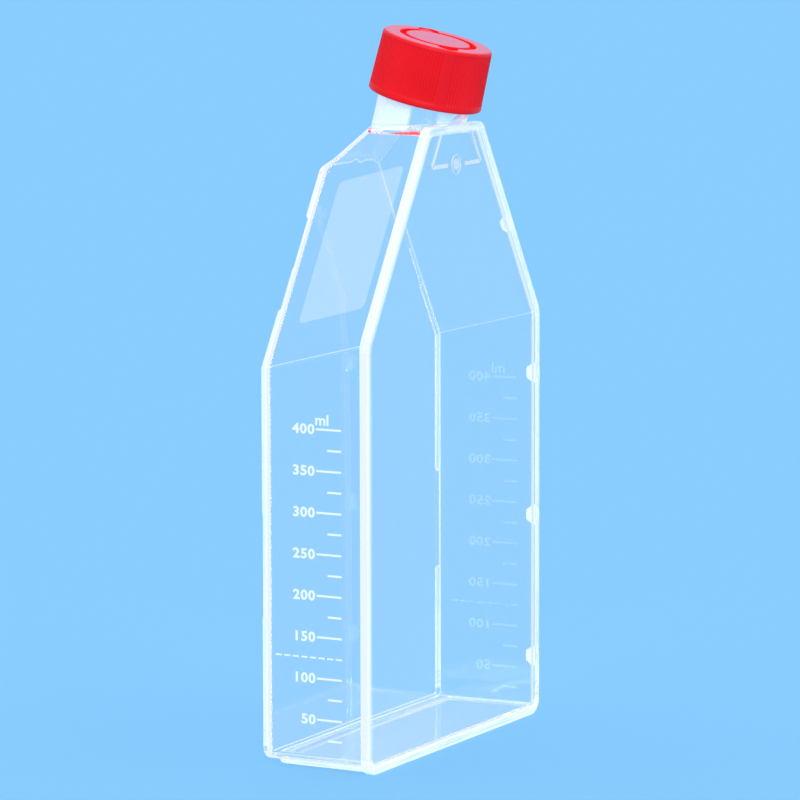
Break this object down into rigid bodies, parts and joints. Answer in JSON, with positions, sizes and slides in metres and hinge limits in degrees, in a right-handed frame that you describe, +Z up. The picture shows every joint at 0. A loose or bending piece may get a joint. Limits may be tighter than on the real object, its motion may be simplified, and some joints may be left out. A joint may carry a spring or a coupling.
{
  "type": "cell culture flask",
  "caption": "Flat, clear cell culture flask with a slanted neck and a ribbed, vented screw cap, for growing cells in a layer of medium.",
  "frame": {"origin": "on the plane the flask stands on, under the middle of its outline in X and Y, cap included", "axes": "+X across the width, +Y towards the growth wall with the foot rim, -Y towards the top plate and the leaning cap, +Z up along the height to the cap"},
  "size_m": [0.116, 0.048, 0.2217],
  "materials": {
    "clear_polystyrene": "clear polished polystyrene with a frosted writing field and white print on the narrow sides",
    "red_cap": "satin moulded polypropylene or polyethylene, glossy on the top",
    "membrane": "matt white filter film"
  },
  "bodies": {
    "flask": {"growth_tray": "clear_polystyrene", "top_plate": "clear_polystyrene"},
    "cap_lift_carrier": {"vent_membrane": "membrane"},
    "cap": {"cap_shell": "red_cap"}
  },
  "joints": [
    {"name": "cap_lift", "type": "slide", "parent": "flask", "child": "cap_lift_carrier", "axis": [0, -0.2487, 0.9686], "range_m": [0, 0.004]},
    {"name": "cap_turn", "type": "hinge", "parent": "cap_lift_carrier", "child": "cap", "pos_m": [0, -0.00104, 0.192], "axis": [0, -0.2487, 0.9686], "range_deg": [0, 449]}
  ],
  "couplings": [
    {"joint": "cap_lift", "follows": "cap_turn", "m_per_rad": 0.0005093}
  ]
}
